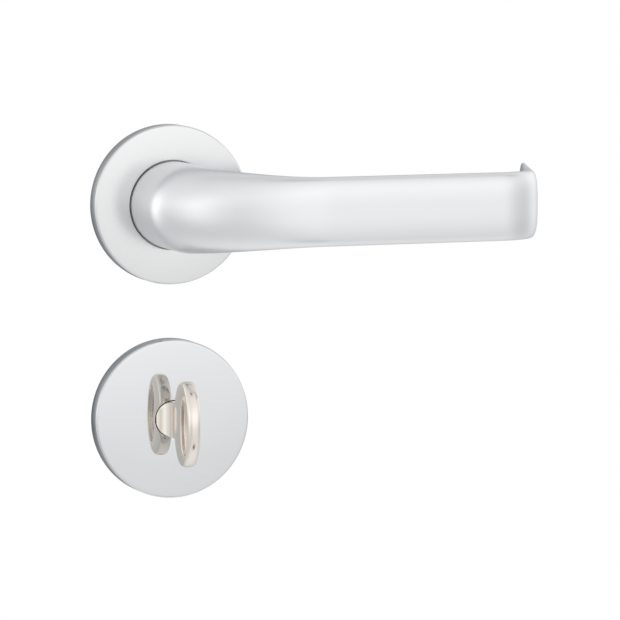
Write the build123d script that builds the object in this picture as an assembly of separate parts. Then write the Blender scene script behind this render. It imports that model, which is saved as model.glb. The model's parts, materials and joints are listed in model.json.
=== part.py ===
from build123d import *
import math
import os

# Inside trim of a privacy lockset: a lever handle on a round rose, and below it
# a thumb turn on a matching rose. Millimetres. The door's face is the plane y = 0,
# the room is towards -Y, and +Z is up. The origin is where the lever's axis meets
# the door's face. The lever points to +X.

os.makedirs("parts", exist_ok=True)

# ---- driving dimensions -------------------------------------------------------
CENTRES = 70.0             # lever axis to thumb turn axis
ROSE_D = 52.0              # both roses
ROSE_T = 6.6               # rose thickness on the door
ROSE_CROWN = 0.4           # how much a rose's face falls from its middle to its edge
COVER_WALL = 1.2           # pressed rose cover
ROSE_BEVEL = 0.6           # bevel round the front edge of a rose
GASKET_T = 0.5             # foam ring against the door
SCREW_CENTRES = 38.0       # fixing screws, above and below each axis
SCREW_D = 4.0
SCREW_NECK_D = 3.7         # plain part of a screw, inside the base plate
SCREW_NECK_OUT = 1.0       # the plain part ends this far behind the door's face
SCREW_HEAD_D = 7.0
SCREW_HEAD_T = 2.0
SCREW_SOCKET_R = 1.5       # corner radius of the hexagon socket
SCREW_SOCKET_DEPTH = 1.2
SCREW_OUT = 25.0           # screw standing out behind the door's face

NECK_D = 28.5              # round foot of the lever
LEVER_OUT = 55.0           # door's face to the front of the bend
GRIP_REACH = 115.2         # lever axis to the tip, measured along the grip
GRIP_LEAN = 3.6            # degrees that the grip leans back to the door
GRIP_T = 6.2               # grip thickness
GRIP_H = 22.2              # grip height
BEND_INSIDE_R = 22.0       # inside of the bend between neck and grip
BEND_FULLNESS = 2.15       # 2 is an elliptical outer bend, more is squarer
TIP_R = 18.5               # outside of the bend at the tip
TIP_TURN = 75.0            # degrees of the bend at the tip
RETURN_LEN = 9.0           # straight part after the bend at the tip
RETURN_T = 2.8             # thickness at the return's end
RETURN_H = 25.2            # height at the return's end
RETURN_ROUND = 0.8         # softened end of the return
GRIP_FULLNESS = 3.2        # section of the grip: 2 is an ellipse
BEND_STEPS = 6
TAPER = 1.1                # how soon the height falls along the bend: less is sooner
SHANK_D = 18.0             # lever's bearing behind the rose
SPINDLE_SQ = 8.0
SPINDLE_OUT = 50.0         # lever spindle behind the door's face
SPINDLE_IN = 26.0          # lever spindle inside the neck, from the door's face
GRUB_D = 5.0
GRUB_L = 7.0
GRUB_Y = -16.0             # grub screw's place along the neck
LEVER_TRAVEL = 45.0        # degrees

HUB_D = 12.0               # round foot of the thumb turn
TURN_SHANK_D = 10.0
TURN_OUT = 23.9            # rose face to the front of the wing
WING_H = 28.0
WING_D = 17.0              # wing, back edge to front edge
WING_T = 4.3
WING_FULLNESS = 2.1        # outline of the wing: 2 is an ellipse
WING_BEVEL = 0.8
FIELD_H = 19.6             # sunk field in each side of the wing
FIELD_D = 7.4
FIELD_FORWARD = 3.2        # the field's middle in front of the wing's middle
FIELD_SINK = 1.4
NECK_T = 2.8               # waist between hub and wing
NECK_SCOOP = 4.4           # length over which the hub narrows to its waist
NECK_IN_WING = 2.4         # how far the neck reaches into the wing
HUB_LIP = 0.6              # round part of the hub in front of its rose's hole
TURN_SPINDLE_SQ = 6.0
TURN_SPINDLE_OUT = 42.0
DISC_D = 18.0              # detent disc
BALL_D = 3.0
NOTCH_DEPTH = 0.5

# ---- fits and clearances ------------------------------------------------------
RUN_GAP = 0.05             # radial, shaft in its bearing
PART_GAP = 0.3             # between pieces that move past each other
COVER_GAP = 0.3            # round the neck, in its cover
HUB_GAP = 0.1              # round the hub, in its cover
SNAP_GAP = 0.2             # base plate inside its cover
SOCKET_GAP = 0.05          # spindle in its socket, each side
END_PLAY = 0.2
BUSH_WALL = 1.3
PLATE_T = 0.4              # steel plate that closes the back of a base plate
WASHER_T = 0.6
RING_T = 1.0               # retaining ring
RING_W = 1.3               # how far it stands out of its groove
RING_GROOVE = 0.6
RING_SLIT = 2.4            # opening of the ring
RING_LUG_R = 1.3
RING_LUG_AT = 2.3          # each lug beside the opening
RING_LUG_HOLE_R = 0.5
SHANK_END = 0.5            # shank past its retaining ring
RECESS_WALL = 0.9
SPRING_WIRE = 0.9
SPRING_PITCH = 1.0
SPRING_TURNS = 1.1
SPRING_LEG = 2.0
DRIVER_ARM_T = 1.0
DRIVER_ARM_W = 4.0
DRIVER_ARM_R = 17.2        # reach of the driver's two stop arms
FLAT_CUT = 1.4             # depth of each driving flat on the lever's shank

# ---- levels along y -----------------------------------------------------------
Y_FACE = -ROSE_T                         # front of a rose
Y_BASE_F = -(ROSE_T - COVER_WALL)        # front of a base plate
Y_BASE_B = -GASKET_T                     # back of a base plate
Y_FOOT = Y_BASE_F - PART_GAP             # foot of the neck and of the hub
Y_RECESS = Y_BASE_F + BUSH_WALL + 0.1    # floor of the recess in a base plate
Y_WASHER = END_PLAY
Y_RING = Y_WASHER + WASHER_T
Y_SHANK_END = Y_RING + RING_T + SHANK_END

Y_DRIVER_F = Y_RECESS + PART_GAP
Y_DRIVER_B = Y_BASE_B - 0.25
Y_DISC = (Y_RECESS + Y_BASE_B) / 2       # middle of the detent disc

NECK_R = NECK_D / 2
PIVOT_X = NECK_R + BEND_INSIDE_R         # centre of the inside of the bend
PIVOT_Y = -(LEVER_OUT - GRIP_T - BEND_INSIDE_R)
SHANK_R = SHANK_D / 2
TURN_SHANK_R = TURN_SHANK_D / 2
RECESS_R = SCREW_CENTRES / 2 - SCREW_HEAD_D / 2 - 0.5
SPRING_R = RECESS_R - 0.65 - SPRING_WIRE / 2
DRIVER_HUB_R = SPRING_R - SPRING_WIRE / 2 - 0.8
SPRING_LEG_Z = 0.0
DISC_T = Y_BASE_B - Y_RECESS - 2 * PART_GAP
BALL_AT = DISC_D / 2 + BALL_D / 2 + 0.15
BALL_SLOT_R = BALL_AT + 5.6
DETENT_WIRE = 0.45
PIN_D = 2.0


def place(shape, name, at=(0, 0, 0)):
    """Moves a finished piece to its axis and writes it as its own node."""
    moved = Pos(*at) * shape
    moved.label = name
    export_step(moved, "parts/" + name + ".step")
    return moved


def disc(radius, y0, y1, inner=0.0):
    """A round plate or tube on the Y axis between two levels."""
    low, high = min(y0, y1), max(y0, y1)
    sketch = Circle(radius)
    if inner > 0:
        sketch = sketch - Circle(inner)
    solid = extrude(sketch, amount=high - low)
    return Pos(0, high, 0) * Rot(90, 0, 0) * solid


def bar(size, y0, y1):
    """A square bar on the Y axis."""
    low, high = min(y0, y1), max(y0, y1)
    return Pos(0, (low + high) / 2, 0) * Box(size, high - low, size)


def group(solids):
    return Compound(children=list(solids))


# ---- pieces that both roses share ---------------------------------------------
def rose_cover(hole_r):
    """A pressed cup with a slightly domed face and a hole for the neck or hub."""
    outer = ROSE_D / 2
    edge_r = outer - ROSE_BEVEL
    edge_y = Y_FACE + ROSE_CROWN
    middle_r = (hole_r + edge_r) / 2
    middle_y = Y_FACE + ROSE_CROWN * ((middle_r - hole_r) / (edge_r - hole_r)) ** 2
    profile = ThreePointArc((hole_r, Y_FACE), (middle_r, middle_y), (edge_r, edge_y))
    profile += Polyline(
        (edge_r, edge_y),
        (outer, edge_y + ROSE_BEVEL),
        (outer, 0),
        (outer - COVER_WALL, 0),
        (outer - COVER_WALL, Y_BASE_F),
        (hole_r, Y_BASE_F),
        (hole_r, Y_FACE),
    )
    return revolve(make_face(profile), Axis.Y)


def screw_holes(radius, y0, y1):
    drill = disc(radius, y0, y1)
    half = SCREW_CENTRES / 2
    return [Pos(0, 0, half) * drill, Pos(0, 0, -half) * drill]


def base_plate(bore_r, recess_r):
    """The cast plate inside a cover: bearing bore, screw seats and a rear recess."""
    outer = ROSE_D / 2 - COVER_WALL - SNAP_GAP
    body = disc(outer, Y_BASE_F, Y_BASE_B)
    lug = Pos(outer, (Y_BASE_F + Y_BASE_B) / 2, 0) * Box(2 * SNAP_GAP, 2.0, 6.0)
    reach = disc(outer + SNAP_GAP, Y_BASE_F, Y_BASE_B)
    for turn in (45, 135, 225, 315):
        body += (Rot(0, turn, 0) * lug) & reach
    body -= disc(bore_r, Y_BASE_F - 1, 1)
    body -= disc(recess_r, Y_RECESS, 1)
    for hole in screw_holes(SCREW_D / 2 + 0.15, Y_BASE_F - 1, 1):
        body -= hole
    for seat in screw_holes(SCREW_HEAD_D / 2 + 0.15, Y_BASE_F - 1, Y_BASE_F + SCREW_HEAD_T):
        body -= seat
    return body


def bearing_bush(shaft_r):
    return disc(shaft_r + RUN_GAP + BUSH_WALL, Y_BASE_F, Y_RECESS, inner=shaft_r + RUN_GAP)


def fixing_screws():
    """Two pan-head screws through a base plate, each with a hexagon socket."""
    half = SCREW_CENTRES / 2
    head = disc(SCREW_HEAD_D / 2, Y_BASE_F, Y_BASE_F + SCREW_HEAD_T)
    socket = extrude(RegularPolygon(SCREW_SOCKET_R, 6), amount=SCREW_SOCKET_DEPTH + 1)
    head -= Pos(0, Y_BASE_F + SCREW_SOCKET_DEPTH, 0) * Rot(90, 0, 0) * socket
    neck = disc(SCREW_NECK_D / 2, Y_BASE_F + SCREW_HEAD_T, SCREW_NECK_OUT)
    shaft = disc(SCREW_D / 2, SCREW_NECK_OUT, SCREW_OUT)
    shaft = chamfer(shaft.edges().sort_by(Axis.Y)[-1], 0.5)
    screw = head + neck + shaft
    return group([Pos(0, 0, half) * screw, Pos(0, 0, -half) * screw])


def gasket():
    outer = ROSE_D / 2 - COVER_WALL - SNAP_GAP
    ring = disc(outer, Y_BASE_B, 0, inner=RECESS_R + RECESS_WALL)
    for hole in screw_holes(SCREW_D / 2 + 0.5, -2, 1):
        ring -= hole
    return ring


def closing_plate(shaft_r):
    """The thin steel plate that holds the mechanism in the base plate's recess."""
    return disc(RECESS_R + RECESS_WALL - 0.1, Y_BASE_B, Y_BASE_B + PLATE_T, inner=shaft_r + PART_GAP)


def thrust_washer(shaft_r):
    return disc(shaft_r + RING_W + 0.6, Y_WASHER, Y_RING, inner=shaft_r + RUN_GAP)


def retaining_ring(shaft_r):
    """An open spring ring with two lugs, seated in the shank's groove."""
    ring = disc(shaft_r + RING_W, Y_RING, Y_RING + RING_T, inner=shaft_r - RING_GROOVE)
    middle = Y_RING + RING_T / 2
    ring -= Pos(0, middle, -shaft_r) * Box(RING_SLIT, 2 * RING_T, 2 * RING_W + 2 * RING_GROOVE + 1)
    lug_z = -(shaft_r + RING_W + 0.2)
    for side in (-1, 1):
        lug = Pos(side * RING_LUG_AT, 0, lug_z) * disc(RING_LUG_R, Y_RING, Y_RING + RING_T)
        lug -= disc(shaft_r + RUN_GAP, Y_RING - 1, Y_RING + RING_T + 1)
        lug -= Pos(side * RING_LUG_AT, 0, lug_z - 0.2) * disc(RING_LUG_HOLE_R, Y_RING - 1, Y_RING + RING_T + 1)
        ring += lug
    return ring


def shank(shaft_r, y_front):
    """The turned bearing behind a neck or hub, with the retaining ring's groove."""
    body = disc(shaft_r, y_front, Y_SHANK_END)
    body -= disc(shaft_r + 1, Y_RING, Y_RING + RING_T, inner=shaft_r - RING_GROOVE)
    return body


# ---- the lever -----------------------------------------------------------------
def lever_section(centre, across, half_t, half_h, fullness):
    """A closed superellipse in the plane that holds Z and the direction across."""
    count = 28
    points = []
    for i in range(count):
        turn = 2 * math.pi * i / count
        c, s = math.cos(turn), math.sin(turn)
        u = half_t * math.copysign(abs(c) ** (2 / fullness), c)
        v = half_h * math.copysign(abs(s) ** (2 / fullness), s)
        points.append(Vector(centre[0] + u * across[0], centre[1] + u * across[1], v))
    return Wire([Spline(*points, periodic=True)])


def bend_stations():
    """Sections that fan round the inside of the bend, from the neck to the leaning grip:
    (centre, across, half thickness, half height, fullness)."""
    wide = NECK_D + BEND_INSIDE_R
    deep = GRIP_T + BEND_INSIDE_R
    stations = []
    for step in range(BEND_STEPS + 1):
        share = step / BEND_STEPS
        turn = math.radians(90 + GRIP_LEAN) * share
        bent = min(turn, math.pi / 2)
        across_x = (math.cos(bent) / wide) ** BEND_FULLNESS
        across_y = (math.sin(bent) / deep) ** BEND_FULLNESS
        reach = (across_x + across_y) ** (-1 / BEND_FULLNESS)
        middle = (reach + BEND_INSIDE_R) / 2
        c, s = math.cos(turn), math.sin(turn)
        centre = (PIVOT_X - middle * c, PIVOT_Y - middle * s)
        tall = NECK_R + (GRIP_H / 2 - NECK_R) * math.sin(math.pi / 2 * share ** TAPER)
        fullness = 2 + (GRIP_FULLNESS - 2) * share
        stations.append((centre, (-c, -s), (reach - BEND_INSIDE_R) / 2, tall, fullness))
    return stations


def grip_pieces():
    """The straight grip, the bend at its tip and the tapered return, before they lean."""
    grip_y = -(LEVER_OUT - GRIP_T / 2)
    tip_x = GRIP_REACH - TIP_R
    tip_y = TIP_R - LEVER_OUT
    section = Face(lever_section((PIVOT_X, grip_y), (0, -1), GRIP_T / 2, GRIP_H / 2, GRIP_FULLNESS))
    grip = extrude(section, amount=tip_x - PIVOT_X, dir=(1, 0, 0))
    tip = revolve(Pos(tip_x - PIVOT_X, 0, 0) * section, Axis((tip_x, tip_y, 0), (0, 0, 1)), TIP_TURN)
    turn = math.radians(TIP_TURN)
    across = (math.sin(turn), -math.cos(turn))
    along = (math.cos(turn), math.sin(turn))
    start = (tip_x + (TIP_R - GRIP_T / 2) * across[0], tip_y + (TIP_R - GRIP_T / 2) * across[1])
    faces = []
    for run, half_t, half_h in (
        (0.0, GRIP_T / 2, GRIP_H / 2),
        (RETURN_LEN - RETURN_ROUND, RETURN_T / 2, RETURN_H / 2),
        (RETURN_LEN, RETURN_T / 2 - RETURN_ROUND, RETURN_H / 2 - RETURN_ROUND),
    ):
        centre = (start[0] + run * along[0], start[1] + run * along[1])
        faces.append(Face(lever_section(centre, across, half_t, half_h, GRIP_FULLNESS)))
    return grip + tip + loft(faces[:2], ruled=True) + loft(faces[1:], ruled=True)


def lever_handle():
    """Round neck, lofted bend, leaning grip and a return, with a turned shank behind."""
    sections = [Face(lever_section(*station)) for station in bend_stations()]
    foot = extrude(sections[0], amount=Y_FOOT - PIVOT_Y, dir=(0, 1, 0))
    bend = loft(sections)
    lean = Pos(PIVOT_X, PIVOT_Y, 0) * Rot(0, 0, GRIP_LEAN) * Pos(-PIVOT_X, -PIVOT_Y, 0)
    grip = lean * grip_pieces()
    rear = shank(SHANK_R, Y_FOOT - 0.5)
    flats_len = Y_SHANK_END - Y_DRIVER_F
    for side in (-1, 1):
        block = Box(10, flats_len, 2 * SHANK_R + 2)
        rear -= Pos(side * (SHANK_R - FLAT_CUT + 5), Y_DRIVER_F + flats_len / 2, 0) * block
    body = foot + bend + grip + rear
    body -= bar(SPINDLE_SQ + 2 * SOCKET_GAP, -(SPINDLE_IN + 0.5), Y_SHANK_END + 1)
    depth = NECK_R + 1 - SPINDLE_SQ / 2
    body -= Pos(0, GRUB_Y, -(SPINDLE_SQ / 2 + depth / 2)) * Cylinder(GRUB_D / 2, depth)
    return body


def lever_spindle():
    body = bar(SPINDLE_SQ, -SPINDLE_IN, SPINDLE_OUT)
    return chamfer(body.faces().sort_by(Axis.Y)[-1].edges(), 0.8)


def lever_grub_screw():
    """A socket set screw under the neck, seated on the spindle."""
    top = -SPINDLE_SQ / 2
    body = Pos(0, GRUB_Y, top - GRUB_L / 2) * Cylinder(GRUB_D / 2, GRUB_L)
    body = chamfer(body.edges().group_by(Axis.Z)[-1], 0.6)
    socket = extrude(RegularPolygon(1.44, 6), amount=3)
    return body - Pos(0, GRUB_Y, top - GRUB_L - 0.01) * socket


def spindle_socket_driver():
    """The plate that turns with the lever: a hub inside the spring and two stop arms."""
    hub = disc(DRIVER_HUB_R, Y_DRIVER_F, Y_DRIVER_B)
    arms = Pos(0, Y_DRIVER_B - DRIVER_ARM_T / 2, 0) * Box(2 * DRIVER_ARM_R, DRIVER_ARM_T, DRIVER_ARM_W)
    arms &= disc(DRIVER_ARM_R, Y_DRIVER_F, Y_DRIVER_B)
    bore = disc(SHANK_R + RUN_GAP, Y_DRIVER_F - 1, Y_DRIVER_B + 1)
    bore &= Box(2 * (SHANK_R - FLAT_CUT + RUN_GAP), 60, 60)
    return hub + arms - bore


def stop_window():
    """Room for one stop arm to swing through the lever's travel."""
    inner = RECESS_R - 1
    outer = DRIVER_ARM_R + PART_GAP
    half = math.degrees(math.asin((DRIVER_ARM_W / 2 + PART_GAP) / inner))
    far = 2 * outer
    first = math.radians(half)
    last = math.radians(-(LEVER_TRAVEL + half))
    middle = (first + last) / 2
    wedge = make_face(Polyline(
        (0, 0),
        (far * math.cos(first), far * math.sin(first)),
        (far * math.cos(middle), far * math.sin(middle)),
        (far * math.cos(last), far * math.sin(last)),
        close=True,
    ))
    sketch = (Circle(outer) - Circle(inner)) & wedge
    height = Y_BASE_B - (Y_DRIVER_B - DRIVER_ARM_T - PART_GAP) + 1
    return Pos(0, Y_BASE_B + 1, 0) * Rot(90, 0, 0) * extrude(sketch, amount=height)


def upper_base():
    body = base_plate(SHANK_R + RUN_GAP + BUSH_WALL, RECESS_R)
    for turn in (0, 180):
        body -= Rot(0, turn, 0) * stop_window()
    slot = Pos(-RECESS_R, (Y_RECESS + Y_BASE_B) / 2, SPRING_LEG_Z)
    return body - slot * Box(3.4, Y_BASE_B - Y_RECESS, SPRING_WIRE + 0.6)


def return_spring():
    """A short torsion coil round the driver's hub, its first leg held in the base."""
    start = Y_RECESS + 0.1 + SPRING_WIRE / 2
    path = Helix(pitch=SPRING_PITCH, height=SPRING_PITCH * SPRING_TURNS, radius=SPRING_R)
    ring = Plane(origin=path @ 0, z_dir=path % 0) * Circle(SPRING_WIRE / 2)
    coil = sweep(ring, path=path, is_frenet=True)
    leg = Rot(0, 90, 0) * Cylinder(SPRING_WIRE / 2, SPRING_LEG)
    coil += Pos(SPRING_R + SPRING_LEG / 2, 0, 0) * leg
    return Pos(0, start, 0) * Rot(0, 180, 0) * Rot(-90, 0, 0) * coil


# ---- the thumb turn ------------------------------------------------------------
def oval(height, depth, count=32):
    """A closed superellipse in the XY sketch plane: depth along X, height along Y."""
    points = []
    for i in range(count):
        turn = 2 * math.pi * i / count
        c, s = math.cos(turn), math.sin(turn)
        x = depth / 2 * math.copysign(abs(c) ** (2 / WING_FULLNESS), c)
        y = height / 2 * math.copysign(abs(s) ** (2 / WING_FULLNESS), s)
        points.append((x, y))
    return make_face(Spline(*points, periodic=True))


def wing_slab(height, depth, x0, x1):
    """An oval slab standing in the plane of the Y and Z axes."""
    slab = extrude(oval(height, depth), amount=x1 - x0)
    return Pos(x0, 0, 0) * Rot(0, 90, 0) * Rot(0, 0, 90) * slab


def thumb_turn():
    """Shank, round foot, a waisted neck and an oval wing with a sunk field each side."""
    foot = HUB_D / 2
    wing_y = Y_FACE - TURN_OUT + WING_D / 2
    half = NECK_T / 2
    lip = Y_FACE - HUB_LIP
    mid = lip - NECK_SCOOP * 0.45
    waist = lip - NECK_SCOOP
    stop = wing_y + WING_D / 2 - NECK_IN_WING
    outline = Polyline((foot, Y_FOOT), (foot, lip))
    outline += Spline((foot, lip), (half + 1.2, mid), (half, waist))
    outline += Polyline((half, waist), (half, stop), (-half, stop), (-half, waist))
    outline += Spline((-half, waist), (-half - 1.2, mid), (-foot, lip))
    outline += Polyline((-foot, lip), (-foot, Y_FOOT), (foot, Y_FOOT))
    neck = extrude(make_face(outline), amount=foot, both=True)
    neck &= disc(foot, Y_FOOT, stop)
    outer = wing_slab(WING_H, WING_D, -WING_T / 2, WING_T / 2)
    wing = chamfer(outer.edges(), WING_BEVEL)
    floor = WING_T / 2 - FIELD_SINK
    for start, end in ((floor, WING_T), (-WING_T, -floor)):
        wing -= Pos(0, -FIELD_FORWARD, 0) * wing_slab(FIELD_H, FIELD_D, start, end)
    body = neck + Pos(0, wing_y, 0) * wing
    body += shank(TURN_SHANK_R, Y_FOOT - 0.5)
    body -= bar(TURN_SPINDLE_SQ + 2 * SOCKET_GAP, Y_FOOT, Y_SHANK_END + 1)
    return body - drive_pin()


def thumb_spindle():
    body = bar(TURN_SPINDLE_SQ, Y_FOOT + 0.3, TURN_SPINDLE_OUT)
    body = chamfer(body.faces().sort_by(Axis.Y)[-1].edges(), 0.6)
    return body - drive_pin()


def drive_pin():
    """The cross pin that keys the detent disc, the shank and the spindle together."""
    return Pos(0, Y_DISC, 0) * Cylinder(PIN_D / 2, DISC_D - 3.0)


def detent_disc():
    body = disc(DISC_D / 2, Y_DISC - DISC_T / 2, Y_DISC + DISC_T / 2, inner=TURN_SHANK_R)
    notch_at = DISC_D / 2 + BALL_D / 2 - NOTCH_DEPTH
    for turn in (0, 90, 180, 270):
        notch = Rot(0, turn, 0) * Pos(notch_at, Y_DISC, 0) * Sphere(BALL_D / 2)
        body -= notch
    return body - drive_pin()


def detent_balls():
    return group(Pos(side * BALL_AT, Y_DISC, 0) * Sphere(BALL_D / 2) for side in (1, -1))


def detent_springs():
    inner = BALL_AT + BALL_D / 2 + 0.02
    height = BALL_SLOT_R - inner - DETENT_WIRE - 0.05
    pitch = height / 4
    path = Helix(pitch=pitch, height=height, radius=BALL_D / 2 - DETENT_WIRE / 2 - 0.1)
    ring = Plane(origin=path @ 0, z_dir=path % 0) * Circle(DETENT_WIRE / 2)
    coil = Pos(inner + DETENT_WIRE / 2, Y_DISC, 0) * Rot(0, 90, 0) * sweep(ring, path=path, is_frenet=True)
    return group([coil, Rot(0, 180, 0) * coil])


def lower_base():
    body = base_plate(TURN_SHANK_R + RUN_GAP + BUSH_WALL, DISC_D / 2 + PART_GAP)
    width = BALL_D + 0.2
    low = Y_DISC - width / 2
    for side in (-1, 1):
        slot = Box(BALL_SLOT_R, Y_BASE_B - low + 1, width)
        body -= Pos(side * BALL_SLOT_R / 2, (low + Y_BASE_B + 1) / 2, 0) * slot
    return body


def main():
    lower = (0, 0, -CENTRES)
    place(rose_cover(NECK_R + COVER_GAP), "upper_rose_cover")
    place(upper_base(), "upper_rose_base")
    place(bearing_bush(SHANK_R), "upper_bearing_bush")
    place(fixing_screws(), "upper_fixing_screws")
    place(gasket(), "upper_foam_gasket")
    place(closing_plate(SHANK_R), "upper_closing_plate")
    place(thrust_washer(SHANK_R), "upper_thrust_washer")
    place(retaining_ring(SHANK_R), "upper_retaining_ring")
    place(lever_handle(), "lever_handle")
    place(lever_spindle(), "lever_spindle")
    place(lever_grub_screw(), "lever_grub_screw")
    place(spindle_socket_driver(), "lever_driver")
    place(return_spring(), "return_spring")

    place(rose_cover(HUB_D / 2 + HUB_GAP), "lower_rose_cover", lower)
    place(lower_base(), "lower_rose_base", lower)
    place(bearing_bush(TURN_SHANK_R), "lower_bearing_bush", lower)
    place(fixing_screws(), "lower_fixing_screws", lower)
    place(gasket(), "lower_foam_gasket", lower)
    place(closing_plate(TURN_SHANK_R), "lower_closing_plate", lower)
    place(thrust_washer(TURN_SHANK_R), "lower_thrust_washer", lower)
    place(retaining_ring(TURN_SHANK_R), "lower_retaining_ring", lower)
    place(thumb_turn(), "thumb_turn", lower)
    place(thumb_spindle(), "thumb_spindle", lower)
    place(drive_pin(), "thumb_drive_pin", lower)
    place(detent_disc(), "detent_disc", lower)
    place(detent_balls(), "detent_balls", lower)
    place(detent_springs(), "detent_springs", lower)


main()
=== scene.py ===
"""Lever handle and thumb turn on round roses: the visible pieces, their finishes and the studio."""

import json
import math

import bmesh
import bpy
from mathutils import Matrix, Vector

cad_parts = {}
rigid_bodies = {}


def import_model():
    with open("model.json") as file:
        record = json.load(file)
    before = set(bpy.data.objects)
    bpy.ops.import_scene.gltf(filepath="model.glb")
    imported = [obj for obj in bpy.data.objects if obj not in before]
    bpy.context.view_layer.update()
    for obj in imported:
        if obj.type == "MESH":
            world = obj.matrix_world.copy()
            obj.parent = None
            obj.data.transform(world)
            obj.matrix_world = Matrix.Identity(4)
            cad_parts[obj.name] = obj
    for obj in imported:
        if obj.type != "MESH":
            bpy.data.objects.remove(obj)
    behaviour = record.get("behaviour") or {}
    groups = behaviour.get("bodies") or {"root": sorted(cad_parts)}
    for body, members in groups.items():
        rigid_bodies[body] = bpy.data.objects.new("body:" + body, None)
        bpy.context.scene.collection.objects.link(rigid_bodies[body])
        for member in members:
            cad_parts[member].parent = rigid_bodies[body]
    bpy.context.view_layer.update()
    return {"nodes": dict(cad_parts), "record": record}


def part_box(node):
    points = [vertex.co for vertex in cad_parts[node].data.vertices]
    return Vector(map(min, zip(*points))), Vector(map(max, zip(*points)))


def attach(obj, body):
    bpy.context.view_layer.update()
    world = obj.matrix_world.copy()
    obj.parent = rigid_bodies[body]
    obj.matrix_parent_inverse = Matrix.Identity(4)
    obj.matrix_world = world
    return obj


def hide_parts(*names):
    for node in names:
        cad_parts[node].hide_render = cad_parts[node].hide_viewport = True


bl_info = {
    "name": "Lever Handle Lockset",
    "version": (1, 0, 0),
    "blender": (4, 5, 0),
    "location": "3D View > Sidebar > Lockset",
    "description": "Builds the visible pieces of a lever handle and a thumb turn round a fixed frame",
    "category": "Add Mesh",
}

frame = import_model()

MM = 0.001


def corner(node, which, axis):
    """One coordinate of a node's box: which is 0 for the low corner and 1 for the high one."""
    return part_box(node)[which][axis]


# ---- what the frame says ------------------------------------------------------
COVER_LOW, COVER_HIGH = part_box("upper_rose_cover")
ROSE_R = COVER_HIGH.x
ROSE_T = -COVER_LOW.y
TURN_Z = (corner("lower_rose_cover", 0, 2) + corner("lower_rose_cover", 1, 2)) / 2
BASE_FRONT = corner("upper_rose_base", 0, 1)
COVER_WALL = ROSE_T + BASE_FRONT
SHANK_END = corner("lever_handle", 1, 1)
SHANK_R = 9.0 * MM           # bearing behind the lever's neck
SHANK_FLAT = 7.6 * MM        # half the width across the flats that drive the spring
TURN_SHANK_R = 5.0 * MM      # bearing behind the thumb turn's foot
SHANK_EDGE = 0.2 * MM        # softened end of both bearings
RING_GROOVE = 0.6 * MM       # depth of the grooves for the retaining rings
SHANK_SINK = 0.2 * MM        # how far a bearing reaches into its foot
RING_FRONT = corner("upper_retaining_ring", 0, 1)
RING_BACK = corner("upper_retaining_ring", 1, 1)
SCREW_OUT = corner("upper_fixing_screws", 1, 1)
SCREW_HALF = 19.0 * MM       # from an axis to each of its two screws
FOOT_GAP = 0.3 * MM          # between a foot and the base plate behind it
GRUB_GAP = 0.02 * MM         # round the grub screw, in its bore


# ---- properties ---------------------------------------------------------------
def length(name, text, value):
    return bpy.props.FloatProperty(name=name, description=text, default=value, unit="LENGTH", precision=5)


def number(name, text, value):
    return bpy.props.FloatProperty(name=name, description=text, default=value)


def colour(name, text, value):
    return bpy.props.FloatVectorProperty(name=name, description=text, default=value, subtype="COLOR",
                                         size=3, min=0.0, max=1.0)


class LeverSizes(bpy.types.PropertyGroup):
    """Sizes and finish of the lever."""

    neck_r: length("Neck radius", "Radius of the round foot", 14.25 * MM)
    out: length("Projection", "Door's face to the front of the bend", -corner("lever_handle", 0, 1))
    reach: length("Reach", "Axis to the tip, measured along the grip", 115.2 * MM)
    lean: bpy.props.FloatProperty(name="Lean", description="How much the grip leans back to the door",
                                  default=math.radians(3.6), unit="ROTATION")
    grip_t: length("Grip thickness", "Front to back of the grip", 6.2 * MM)
    grip_h: length("Grip height", "Height of the grip", 22.2 * MM)
    bend_r: length("Bend radius", "Inside of the bend between neck and grip", 22.0 * MM)
    bend_full: number("Bend fullness", "2 is elliptical, more is squarer", 2.15)
    taper: number("Taper", "How soon the height falls along the bend: less is sooner", 1.1)
    tip_r: length("Tip radius", "Outside of the bend at the tip", 18.5 * MM)
    tip_turn: bpy.props.FloatProperty(name="Tip turn", description="Angle of the bend at the tip",
                                      default=math.radians(75.0), unit="ROTATION")
    return_len: length("Return length", "Straight part after the bend at the tip", 9.0 * MM)
    return_t: length("Return thickness", "Thickness at the return's end", 2.8 * MM)
    return_h: length("Return height", "Height at the return's end", 25.2 * MM)
    end_round: length("End rounding", "Softening of the return's end", 0.8 * MM)
    grip_full: number("Section fullness", "2 is an ellipse, more is squarer", 3.2)
    foot_edge: length("Foot edge", "Softened edge round the foot", 0.35 * MM)
    metal: colour("Metal", "Colour of the satin metal", (0.80, 0.803, 0.81))
    roughness: number("Roughness", "Blur of the satin finish", 0.30)


class RoseSizes(bpy.types.PropertyGroup):
    """Sizes and finish of the two roses."""

    bevel: length("Bevel", "Softened front edge", 0.6 * MM)
    crown: length("Crown", "How much a face falls from its middle to its edge", 0.4 * MM)
    neck_gap: length("Neck gap", "Gap round the neck", 0.3 * MM)
    hub_gap: length("Hub gap", "Gap round the hub", 0.1 * MM)
    neck_r: length("Neck radius", "Radius of the lever's foot", 14.25 * MM)
    hub_r: length("Hub radius", "Radius of the thumb turn's foot", 6.0 * MM)
    satin: colour("Satin metal", "Colour of the upper rose", (0.745, 0.747, 0.752))
    satin_roughness: number("Satin roughness", "Blur of the upper rose", 0.24)
    bright: colour("Bright metal", "Colour of the lower rose", (0.675, 0.68, 0.69))
    bright_roughness: number("Bright roughness", "Blur of the lower rose", 0.03)
    segments: bpy.props.IntProperty(name="Segments", description="Steps round each cover", default=256)


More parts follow.
